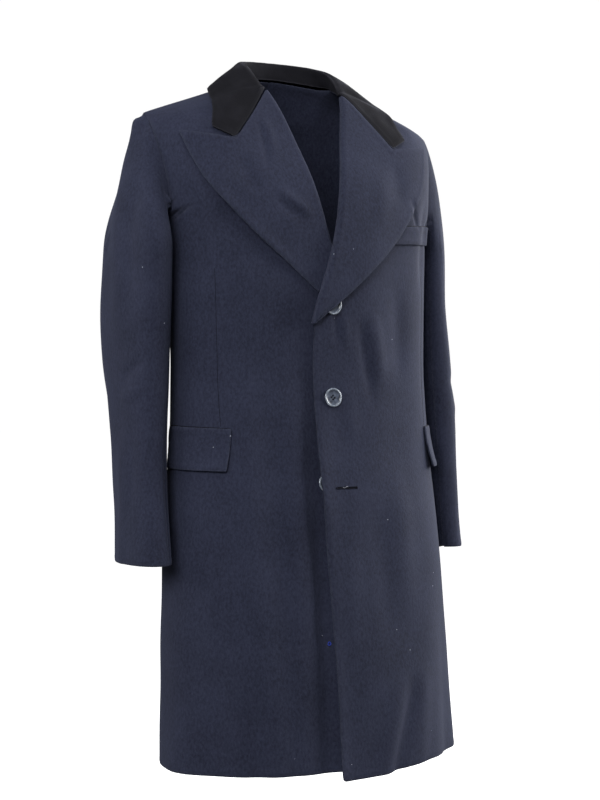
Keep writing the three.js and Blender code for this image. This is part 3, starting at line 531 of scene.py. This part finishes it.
# How near each flat point lies to a fold, from 0 to 1.
def alongPath(flat, fold):
    path = np.array(fold["path"], dtype=float) * mm
    lengths = np.linalg.norm(np.diff(path, axis=0), axis=1)
    starts = np.concatenate([[0], np.cumsum(lengths)])
    total = starts[-1]
    nearest = np.full(len(flat), 1e9)
    travelled = np.zeros(len(flat))
    for first, second, length, start in zip(path[:-1], path[1:], lengths, starts):
        way = (second - first) / length
        along = np.clip((flat - first) @ way, 0, length)
        away = np.linalg.norm(flat - first - along[:, None] * way, axis=1)
        closer = away < nearest
        nearest[closer] = away[closer]
        travelled[closer] = start + along[closer]
    share = travelled / total
    fade = np.minimum(share / foldForm["endFade"], 1)
    if not fold["free"]:
        fade = np.minimum(fade, (1 - share) / foldForm["endFade"])
    fade = np.clip(fade, 0, 1)
    fade = fade * fade * (3 - 2 * fade)
    return np.exp(-((nearest / (fold["width"] * mm)) ** 2)) * fade


def waveHeight(points):
    total = np.zeros(len(points))
    for wave in softWaves:
        way = wave["way"] / np.linalg.norm(wave["way"])
        total += wave["height"] * np.sin(2 * math.pi * (points @ way) / wave["length"] + wave["start"])
    return total * mm * waveShare


# How far and which way the body's folds move each point of a piece.
def bodyMove(points, node=""):
    across = points[:, 0] / formAt(points[:, 2], "halfWidth") ** 2
    deep = (points[:, 1] - formAt(points[:, 2], "centreY")) / formAt(points[:, 2], "halfDepth") ** 2
    way = np.stack([across, deep, np.zeros(len(points))], axis=1)
    way /= np.linalg.norm(way, axis=1)[:, None]
    inFront = np.clip(-way[:, 1] * foldForm["sideFade"], 0, 1)
    behind = np.clip(way[:, 1] * foldForm["sideFade"], 0, 1)
    flat = points[:, [0, 2]]
    reach = waveHeight(points)
    for fold in bodyFolds:
        if fold["only"] not in (None, node):
            continue
        side = inFront if fold["face"] == "front" else behind
        reach += foldForm["scale"] * fold["height"] * mm * alongPath(flat, fold) * side
    return way * reach[:, None]


# The sleeve's middle line, from slabs "slab" high on each side, every "step" metres.
sleeveForm = {"low": 0.02, "high": 0.04, "step": 0.05, "slab": 0.045, "stretch": [1.7, 1.0],
              "outerStart": 0.6, "waves": 0.8}


def sleeveLine(word):
    parts = [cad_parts[f"sleeve_{part}_{word}"] for part in ("top", "under")]
    points = np.concatenate([meshPoints(part) for part in parts])
    lowest, highest = points[:, 2].min() + sleeveForm["low"], points[:, 2].max() - sleeveForm["high"]
    heights = np.arange(lowest, highest, sleeveForm["step"])
    middles = []
    for height in heights:
        slab = points[np.abs(points[:, 2] - height) < sleeveForm["slab"]]
        middles.append((slab.min(axis=0) + slab.max(axis=0)) / 2)
    return heights, np.array(middles)


def sleeveMove(points, word, line):
    heights, middles = line
    middle = np.stack([np.interp(points[:, 2], heights, middles[:, axis]) for axis in (0, 1)], axis=1)
    flatWay = (points[:, :2] - middle) * sleeveForm["stretch"]
    way = np.concatenate([flatWay, np.zeros((len(points), 1))], axis=1)
    way /= np.maximum(np.linalg.norm(way, axis=1), 1e-6)[:, None]
    own = 1 if word == "left" else -1
    outer = np.clip(way[:, 0] * own * foldForm["sideFade"] + sleeveForm["outerStart"], 0, 1)
    inner = np.clip(-way[:, 0] * own * foldForm["sideFade"], 0, 1)
    flat = points[:, [1, 2]]
    reach = waveHeight(points) * sleeveForm["waves"]
    for fold in sleeveFolds[word]:
        side = outer if fold["face"] == "outer" else inner
        reach += foldForm["scale"] * fold["height"] * mm * alongPath(flat, fold) * side
    return way * reach[:, None]


def meshPoints(piece):
    points = np.empty(len(piece.data.vertices) * 3)
    piece.data.vertices.foreach_get("co", points)
    return points.reshape(-1, 3)


def setPoints(piece, points):
    piece.data.vertices.foreach_set("co", points.ravel())
    piece.data.update()


# Each shell is made from its solid's own form. "band" is the strip kept along the edges in mm,
# "flat" the cut of what shows and "area" its size, in metres, and "on" what it rests on.
shellColumns = ("name", "node", "band", "held", "flat", "area", "on")
clothShells = [dict(zip(shellColumns, row)) for row in [
    ("wool_front_left", "front_left", 4, "hung", (0.40, 1.05), 0.322, None),
    ("wool_front_right", "front_right", 4, "hung", (0.40, 1.04), 0.322, None),
    ("wool_back_left", "back_left", 4, "hung", (0.27, 1.06), 0.246, None),
    ("wool_back_right", "back_right", 4, "hung", (0.27, 1.06), 0.246, None),
    ("wool_sleeve_top_left", "sleeve_top_left", 4, "hung", (0.25, 0.69), 0.124, None),
    ("wool_sleeve_top_right", "sleeve_top_right", 4, "hung", (0.26, 0.70), 0.132, None),
    ("wool_sleeve_under_left", "sleeve_under_left", 4, "hung", (0.15, 0.56), 0.067, None),
    ("wool_sleeve_under_right", "sleeve_under_right", 4, "hung", (0.15, 0.57), 0.071, None),
    ("wool_lapel_left", "lapel_left", 2, "laid", (0.20, 0.37), 0.041, "wool_front_left"),
    ("wool_lapel_right", "lapel_right", 2, "laid", (0.20, 0.35), 0.039, "wool_front_right"),
    ("wool_flap_left", "flap_left", 2.5, "hung", (0.095, 0.067), 0.0056, "wool_front_left"),
    ("wool_flap_right", "flap_right", 2.5, "hung", (0.125, 0.067), 0.0075, "wool_front_right"),
    ("wool_breast_welt", "breast_welt", 2.5, "laid", (0.108, 0.040), 0.0042, "wool_front_left"),
    ("velvet_collar", "collar", 2, "laid", (0.56, 0.14), 0.048, "wool_back_left"),
]]
shellLevels = 3
weldDistance = 0.03 * mm
quadLimits = {"face_threshold": math.radians(50), "shape_threshold": math.radians(70)}
# Along its edges the cloth is pressed thinner by "sink" and swells beside them, in mm. An edge
# sharper than "sharpTurn" degrees counts as one, with a rim point every "rimStep".
edgeShape = {"crease": 0.45, "sharpTurn": 50, "rimStep": 2.0, "sink": 0.5, "sinkWidth": 1.8,
             "swell": 0.35, "swellAt": 6.5, "swellWidth": 3.2, "wearWidth": 2.6}


def sharpEdges(bm):
    limit = math.radians(edgeShape["sharpTurn"])
    return [edge for edge in bm.edges if len(edge.link_faces) == 2 and edge.calc_face_angle(0) > limit]


# Points along a shell's rim, where wall and edge meet.
def rimPoints(mesh):
    bm = bmesh.new()
    bm.from_mesh(mesh)
    found = []
    for edge in sharpEdges(bm):
        first, second = (np.array(vert.co) for vert in edge.verts)
        count = max(2, int(np.linalg.norm(second - first) / (edgeShape["rimStep"] * mm)))
        found.extend(first + (second - first) * share for share in np.linspace(0, 1, count))
    bm.free()
    return np.array(found)


def nearestDistance(points, targets):
    tree = KDTree(len(targets))
    for index, target in enumerate(targets):
        tree.insert(target, index)
    tree.balance()
    return np.array([tree.find(point)[2] for point in points])


# The faces between sharp edges, as sets, the broadest first.
def smoothSides(bm):
    sharp = set(sharpEdges(bm))
    sides = []
    unseen = set(bm.faces)
    while unseen:
        side = {unseen.pop()}
        growing = list(side)
        while growing:
            for edge in growing.pop().edges:
                if edge in sharp:
                    continue
                for other in edge.link_faces:
                    if other in unseen:
                        unseen.discard(other)
                        side.add(other)
                        growing.append(other)
        sides.append(side)
    return sorted(sides, key=lambda side: -sum(face.calc_area() for face in side))


def makeShell(shell):
    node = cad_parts[shell["node"]]
    piece = node.copy()
    piece.data = node.data.copy()
    piece.name = shell["name"]
    piece.parent = None
    piece.matrix_world = Matrix.Identity(4)
    bpy.context.scene.collection.objects.link(piece)
    onlySelect(piece)
    bpy.ops.object.mode_set(mode="EDIT")
    bpy.ops.mesh.select_mode(type="FACE")
    bpy.ops.mesh.select_all(action="SELECT")
    bpy.ops.mesh.remove_doubles(threshold=weldDistance)
    bpy.ops.mesh.tris_convert_to_quads(**quadLimits)
    bpy.ops.object.mode_set(mode="OBJECT")
    rim = rimPoints(piece.data)
    shellRims[shell["node"]] = rim
    # the two broad sides get a strip along their edges, so that the edge keeps its shape
    bm = bmesh.new()
    bm.from_mesh(piece.data)
    for side in smoothSides(bm)[:2]:
        bmesh.ops.inset_region(bm, faces=list(side), thickness=shell["band"] * mm, use_even_offset=False)
    creased = bm.edges.layers.float.get("crease_edge") or bm.edges.layers.float.new("crease_edge")
    for edge in sharpEdges(bm):
        edge[creased] = edgeShape["crease"]
    bm.to_mesh(piece.data)
    bm.free()
    finer = piece.modifiers.new("finer", "SUBSURF")
    finer.levels = shellLevels
    finer.render_levels = shellLevels
    onlySelect(piece)
    bpy.ops.object.modifier_apply(modifier="finer")
    bpy.ops.object.shade_smooth()

    points = meshPoints(piece)
    normals = np.empty(len(points) * 3)
    piece.data.vertices.foreach_get("normal", normals)
    normals = normals.reshape(-1, 3)
    away = nearestDistance(points, rim) / mm
    lift = edgeShape["swell"] * np.exp(-(((away - edgeShape["swellAt"]) / edgeShape["swellWidth"]) ** 2))
    lift -= edgeShape["sink"] * np.exp(-((away / edgeShape["sinkWidth"]) ** 2))
    moved = points + normals * (lift * mm)[:, None]
    if "sleeve" in shell["node"]:
        word = shell["node"].split("_")[-1]
        moved += sleeveMove(points, word, sleeveLines[word])
    else:
        moved += bodyMove(points, shell["node"])
    setPoints(piece, moved)
    near = piece.data.attributes.new("edgeNear", "FLOAT", "POINT")
    near.data.foreach_set("value", np.exp(-((away / edgeShape["wearWidth"]) ** 2)).astype(np.float32))
    piece.data.materials.clear()
    piece.data.materials.append(velvet if shell["node"] == "collar" else wool)
    print("shell", piece.name, len(piece.data.polygons))
    return piece


shellRims = {}
sleeveLines = {word: sleeveLine(word) for word in ("left", "right")}
shells = {shell["node"]: makeShell(shell) for shell in clothShells}
print("cloth shells made")


def treeOf(*pieces):
    points = []
    faces = []
    for piece in pieces:
        start = len(points)
        points.extend(vert.co.copy() for vert in piece.data.vertices)
        faces.extend([start + index for index in face.vertices] for face in piece.data.polygons)
    return BVHTree.FromPolygons(points, faces)


# Seams are drawn shut: the first piece's edge is moved on to the pieces beside it, where it lies
# above "lowest" and within "search" of them, in metres.
seamReach = {"gap": 0.00002, "soften": 6.0, "least": 0.02, "farther": 1.5}
seamKinds = {
    "long": {"lowest": -2, "search": 0.0035},
    "armhole": {"lowest": -0.262, "search": 0.0075},
}
seams = [
    {"kind": "long", "moving": "back_left", "to": ["back_right"]},
    {"kind": "long", "moving": "front_left", "to": ["back_left"]},
    {"kind": "long", "moving": "front_right", "to": ["back_right"]},
    {"kind": "armhole", "moving": "sleeve_top_left", "to": ["front_left", "back_left"]},
    {"kind": "armhole", "moving": "sleeve_top_right", "to": ["front_right", "back_right"]},
    {"kind": "armhole", "moving": "sleeve_under_left", "to": ["front_left", "back_left"]},
    {"kind": "armhole", "moving": "sleeve_under_right", "to": ["front_right", "back_right"]},
    {"kind": "long", "moving": "sleeve_under_left", "to": ["sleeve_top_left"]},
    {"kind": "long", "moving": "sleeve_under_right", "to": ["sleeve_top_right"]},
]


def closeSeam(seam):
    kind = seamKinds[seam["kind"]]
    beside = treeOf(*[shells[node] for node in seam["to"]])
    piece = shells[seam["moving"]]
    points = meshPoints(piece)
    rim = np.array([
        point for point in shellRims[seam["moving"]]
        if point[2] > kind["lowest"] and beside.find_nearest(Vector(point), kind["search"])[0]
    ])
    if not len(rim):
        return
    high = np.flatnonzero(points[:, 2] > kind["lowest"])
    away = nearestDistance(points[high], rim) / mm
    for index, distance in zip(high, away):
        pull = math.exp(-((distance / seamReach["soften"]) ** 2))
        if pull < seamReach["least"]:
            continue
        found = beside.find_nearest(Vector(points[index]), kind["search"] * seamReach["farther"])
        if not found[0] or found[3] <= seamReach["gap"]:
            continue
        step = np.array(found[0]) - points[index]
        points[index] += step * (1 - seamReach["gap"] / found[3]) * pull
    setPoints(piece, points)


for seam in seams:
    closeSeam(seam)
print("seams closed")

for shell in clothShells:
    piece = shells[shell["node"]]
    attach(piece, "root")
    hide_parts(shell["node"])

# Sizes in mm. Each step of the rim is a share of its width and of its rise, each step of the
# dish a width in mm and a share of its fall. The rim's outer top gets a painted highlight.
buttonSize = {
    "radius": 14.0, "height": 3.4, "rim": 2.9, "rimRise": 0.8, "dish": 1.0, "holeRadius": 1.45,
    "holeSpacing": 4.2, "holeSides": 20, "drillDepth": 20, "sides": 64, "backShare": 0.86, "clear": 0.2,
    "edge": 0.3, "edgeSteps": 3, "edgeTurn": 60, "smoothTurn": 40, "highlightRim": 0.8, "highlightFrom": 0.5,
    "rimSteps": [(0.14, 0.5), (0.16, 0.3), (0.20, 0.2), (0.20, -0.2), (0.16, -0.3), (0.14, -0.5)],
    "dishSteps": [(0.6, 0.6), (1.6, 0.3), (2.6, 0.1)],
}
# Strands over the dish lie "aside" of each other; those of the shank run behind the button.
sewingSize = {"radius": 0.30, "aside": (-0.3, 0.3), "under": 0.1, "arch": 0.7, "drop": 1.2,
              "shank": (-0.9, 0, 0.9), "shankLean": 0.4, "shankTop": 0.4, "shankEnd": -1.4,
              "shankTaper": 0.7}
buttonPieces = [
    {"name": "horn_button_top", "node": "button_top", "turn": 20},
    {"name": "horn_button_middle", "node": "button_middle", "turn": 38},
    {"name": "horn_button_bottom", "node": "button_bottom", "turn": 60, "slip": (-4, 0, 3.5)},
]


# The middle of a button's back, its way out and its sideways axis.
def buttonPlace(node):
    points = meshPoints(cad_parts[node])
    middle = (points.min(axis=0) + points.max(axis=0)) / 2
    centred = points - points.mean(axis=0)
    _, _, axes = np.linalg.svd(centred, full_matrices=False)
    outwards = Vector(axes[2])
    if outwards.y > 0:
        outwards.negate()
    heights = (points - middle) @ np.array(outwards)
    middle = Vector(middle) + outwards * float(heights.min())
    sideways = outwards.cross(Vector((0, 0, 1))).normalized() * -1
    return middle, outwards, sideways


def placeMatrix(middle, outwards, sideways):
    upwards = outwards.cross(sideways)
    matrix = Matrix((sideways, upwards, outwards)).transposed().to_4x4()
    matrix.translation = middle
    return matrix


def makeButton(button):
    size = buttonSize
    bpy.ops.object.select_all(action="DESELECT")
    bpy.ops.mesh.primitive_cylinder_add(
        vertices=size["sides"], radius=size["radius"] * mm, depth=size["height"] * mm,
        location=(0, 0, size["height"] * mm / 2),
    )
    piece = bpy.context.object
    bpy.ops.object.transform_apply(location=True)
    piece.name = button["name"]
    bm = bmesh.new()
    bm.from_mesh(piece.data)
    top = max(bm.faces, key=lambda face: face.calc_center_median().z)
    bottom = min(bm.faces, key=lambda face: face.calc_center_median().z)
    bmesh.ops.inset_region(bm, faces=[bottom], thickness=size["rim"] * mm, depth=0)
    # the back's outer edge is drawn in
    for vert in bm.verts:
        if abs(vert.co.z) < 1e-6 and vert.co.xy.length > (size["radius"] - size["rim"] / 2) * mm:
            vert.co.xy *= size["backShare"]
    for width, rise in size["rimSteps"]:
        bmesh.ops.inset_region(bm, faces=[top], thickness=width * size["rim"] * mm)
        bmesh.ops.translate(bm, verts=list(top.verts), vec=(0, 0, rise * size["rimRise"] * mm))
    for width, fall in size["dishSteps"]:
        bmesh.ops.inset_region(bm, faces=[top], thickness=width * mm)
        bmesh.ops.translate(bm, verts=list(top.verts), vec=(0, 0, -fall * size["dish"] * mm))
    bm.to_mesh(piece.data)
    bm.free()
    turn = math.radians(button["turn"])
    for corner in range(4):
        angle = turn + math.pi / 4 + corner * math.pi / 2
        across = size["holeSpacing"] * mm / math.sqrt(2)
        bpy.ops.mesh.primitive_cylinder_add(
            vertices=size["holeSides"], radius=size["holeRadius"] * mm, depth=size["drillDepth"] * mm,
            location=(across * math.cos(angle), across * math.sin(angle), 0),
        )
        drill = bpy.context.object
        cut = piece.modifiers.new("cut", "BOOLEAN")
        cut.operation = "DIFFERENCE"
        cut.solver = "EXACT"
        cut.object = drill
        onlySelect(piece)
        bpy.ops.object.modifier_apply(modifier="cut")
        bpy.data.objects.remove(drill, do_unlink=True)
    soften = piece.modifiers.new("soften", "BEVEL")
    soften.width = size["edge"] * mm
    soften.segments = size["edgeSteps"]
    soften.limit_method = "ANGLE"
    soften.angle_limit = math.radians(size["edgeTurn"])
    onlySelect(piece)
    bpy.ops.object.modifier_apply(modifier="soften")
    bpy.ops.object.shade_smooth_by_angle(angle=math.radians(size["smoothTurn"]))

    middle, outwards, sideways = buttonPlace(button["node"])
    place = placeMatrix(middle + outwards * (size["clear"] * mm), outwards, sideways)
    shift = bodyMove(np.array([middle]))[0]
    place.translation += Vector(shift) + Vector(button.get("slip", (0, 0, 0))) * mm
    piece.data.materials.append(horn)
    piece.data.materials.append(rimHighlightHorn)
    # the rim's outer top faces get the pale second material: a painted highlight where the rim catches the
    # light
    inside = (size["radius"] - size["rim"] * size["highlightRim"]) * mm
    highlightHeight = size["highlightFrom"] * size["height"] * mm
    for face in piece.data.polygons:
        if face.center.xy.length > inside and face.center.z > highlightHeight:
            face.material_index = 1
    piece.data.transform(place)
    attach(piece, "root")
    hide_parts(button["node"])

    sewing = makeSewing(button["name"].replace("horn_button", "thread_button"), turn)
    sewing.data.transform(place)
    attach(sewing, "root")


# Thread through the holes and the short shank behind.
def makeSewing(name, turn):
    size = buttonSize
    strands = []
    reach = size["holeSpacing"] * mm / math.sqrt(2)
    level = (size["height"] - size["dish"] - sewingSize["under"]) * mm
    down = Vector((0, 0, sewingSize["drop"] * mm))
    for pair in (0, 1):
        for side in sewingSize["aside"]:
            first = turn + math.pi / 4 + pair * math.pi
            second = first + math.pi / 2
            start = Vector((reach * math.cos(first), reach * math.sin(first), level))
            end = Vector((reach * math.cos(second), reach * math.sin(second), level))
            over = (end - start).normalized()
            aside = Vector((-over.y, over.x, 0)) * side * mm
            middleUp = (start + end) / 2 + Vector((0, 0, sewingSize["arch"] * mm))
            strands.append([start + aside - down, start + aside, middleUp + aside, end + aside,
                            end + aside - down])
    top = sewingSize["shankTop"] * mm
    for side in sewingSize["shank"]:
        strands.append([
            Vector((side * mm, sewingSize["shankLean"] * side * mm, top)),
            Vector((side * mm, 0, -top)),
            Vector((sewingSize["shankTaper"] * side * mm, 0, sewingSize["shankEnd"] * mm)),
        ])
    return makeTubes(name, strands, sewingSize["radius"] * mm, navyThread)


# Thin round strands along lists of points, as one mesh.
def makeTubes(name, strands, radius, material, sides=8):
    bpy.ops.object.select_all(action="DESELECT")
    curve = bpy.data.curves.new(name, "CURVE")
    curve.dimensions = "3D"
    curve.bevel_depth = radius
    curve.bevel_resolution = max(0, sides // 4 - 1)
    curve.resolution_u = 6
    curve.use_fill_caps = True
    for strand in strands:
        spline = curve.splines.new("BEZIER")
        spline.bezier_points.add(len(strand) - 1)
        for point, place in zip(spline.bezier_points, strand):
            point.co = place
            point.handle_left_type = "AUTO"
            point.handle_right_type = "AUTO"
    piece = bpy.data.objects.new(name, curve)
    bpy.context.scene.collection.objects.link(piece)
    onlySelect(piece)
    bpy.ops.object.convert(target="MESH")
    piece = bpy.context.object
    piece.data.materials.clear()
    piece.data.materials.append(material)
    bpy.ops.object.shade_smooth()
    return piece


for button in buttonPieces:
    makeButton(button)
print("buttons")

# Middles in mm on the left front, the slit's length, and its left end from the middle.
buttonholes = [
    {"name": "buttonhole_middle", "x": -4, "z": -480, "length": 25, "start": -10},
    {"name": "buttonhole_bottom", "x": -8, "z": -612, "length": 34, "start": 0},
]
purl = {"spacing": 0.9, "reach": 1.3, "radius": 0.38, "gap": 0.5, "low": 0.05, "crest": 0.42,
        "wobble": 0.18, "wobbleTurn": 2.3, "lean": (0.2, 0.3)}
# The fan of stitches round a buttonhole's end, and the dark line along its slit, which is painted shade in
# the open slit.
fan = {"count": 9, "turn": 22.5, "gap": 1.4, "inner": 0.6, "outer": 2.8}
slitLine = {"radius": 0.26, "lift": 0.02, "past": 0.02, "count": 9}
castFrom = -0.6
frontTree = treeOf(shells["front_left"])


def onCloth(tree, x, z, lift):
    hit, normal, _, _ = tree.ray_cast(Vector((x * mm, castFrom, z * mm)), Vector((0, 1, 0)))
    return hit + normal * (lift * mm)


def makeButtonhole(hole):
    strands = []
    left = hole["x"] + hole["start"]
    count = int(hole["length"] / purl["spacing"])
    for step in range(count + 1):
        x = left + step * purl["spacing"]
        for side in (-1, 1):
            wobble = purl["wobble"] * math.sin(step * purl["wobbleTurn"] + side)
            crest = purl["gap"] + 0.5 * purl["reach"]
            tip = purl["gap"] + purl["reach"] + wobble
            strands.append([
                onCloth(frontTree, x, hole["z"] + side * purl["gap"], purl["low"]),
                onCloth(frontTree, x + purl["lean"][0], hole["z"] + side * crest, purl["crest"]),
                onCloth(frontTree, x + purl["lean"][1], hole["z"] + side * tip, 0.0),
            ])
    for turn in range(fan["count"]):
        angle = math.radians(90 - turn * fan["turn"])
        x = left - purl["spacing"] / 2
        inner = (x - fan["inner"] * math.cos(angle), hole["z"] + purl["gap"] * fan["gap"] * math.sin(angle))
        outer = (x - fan["outer"] * math.cos(angle),
                 hole["z"] + (purl["gap"] + purl["reach"]) * math.sin(angle))
        strands.append([
            onCloth(frontTree, inner[0], inner[1], purl["low"]),
            onCloth(frontTree, (inner[0] + outer[0]) / 2, (inner[1] + outer[1]) / 2, purl["crest"]),
            onCloth(frontTree, outer[0], outer[1], 0.0),
        ])
    piece = makeTubes(hole["name"], strands, purl["radius"] * mm, navyThread, sides=4)
    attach(piece, "root")
    # a near-black tube along the slit: painted shade where the slit opens
    line = [onCloth(frontTree, left + share * hole["length"], hole["z"], slitLine["lift"])
            for share in np.linspace(-slitLine["past"], 1 + slitLine["past"], slitLine["count"])]
    slitName = hole["name"].replace("buttonhole", "slit")
    slit = makeTubes(slitName, [line], slitLine["radius"] * mm, slitShade, sides=4)
    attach(slit, "root")


for hole in buttonholes:
    makeButtonhole(hole)

# Seams pressed flat into a piece: the line of the seam in mm, (x, z) from the front. Each is drawn as a
# thin near-black tube along the seam or above a pocket's flap or welt: painted shade in the seam's groove.
pressedSeams = [
    {"name": "dart_right", "on": "front_right",
     "path": [(-172, -292), (-170, -350), (-168.6, -430), (-168, -522)]},
    {"name": "dart_left", "on": "front_left",
     "path": [(186, -292), (185, -350), (184, -430), (183, -522)]},
    {"name": "seam_flap_right", "above": "flap_right"},
    {"name": "seam_flap_left", "above": "flap_left"},
    {"name": "seam_welt", "above": "breast_welt"},
]
seamShade = {"radius": 0.5, "steps": 60, "depth": -0.22, "slice": 2.5, "above": 0.3}


# A dart runs down its piece; a pocket's seam runs along the top of the flap or welt.
def seamLine(seam):
    if "path" in seam:
        tree = treeOf(shells[seam["on"]])
        path = np.array(seam["path"], dtype=float)
        heights = np.linspace(path[0, 1], path[-1, 1], seamShade["steps"])
        return [
            onCloth(tree, np.interp(-height, -path[:, 1], path[:, 0]), height, seamShade["depth"])
            for height in heights
        ]
    points = meshPoints(shells[seam["above"]])
    ends = points[:, 0].min(), points[:, 0].max()
    line = []
    for share in np.linspace(0.01, 0.99, seamShade["steps"]):
        across = ends[0] + share * (ends[1] - ends[0])
        near = points[np.abs(points[:, 0] - across) < seamShade["slice"] * mm]
        if not len(near):
            continue
        highest = near[:, 2].max()
        top = near[near[:, 2] > highest - seamShade["slice"] * mm]
        line.append(Vector((across, top[:, 1].mean(), highest + seamShade["above"] * mm)))
    return line


# the seam's line as a near-black tube: painted shade
def makeSeam(seam):
    piece = makeTubes(seam["name"], [seamLine(seam)], seamShade["radius"] * mm, slitShade, sides=4)
    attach(piece, "root")


for seam in pressedSeams:
    makeSeam(seam)
print("buttonholes and pressed seams")

# Loose thread: x and z in mm as seen from the front, and the lift off the cloth.
looseEnds = [
    {"name": "thread_end", "material": paleThread, "radius": 0.32, "on": "front_left",
     "path": [(1, -611, 0.3), (4, -612, 1.1), (8, -610, 0.9), (10, -611, 0.3)]},
    {"name": "tack_blue", "material": blueThread, "radius": 0.55, "on": "front_right",
     "path": [(-27, -833, 0.4), (-29, -834, 1.4), (-30, -837, 1.2), (-28, -838, 0.6),
              (-26, -836, 1.1), (-27, -834, 0.6)]},
]
for tack in looseEnds:
    cloth = treeOf(shells[tack["on"]])
    points = [onCloth(cloth, x, z, lift) for x, z, lift in tack["path"]]
    piece = makeTubes(tack["name"], [points], tack["radius"] * mm, tack["material"])
    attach(piece, "root")
print("loose thread")
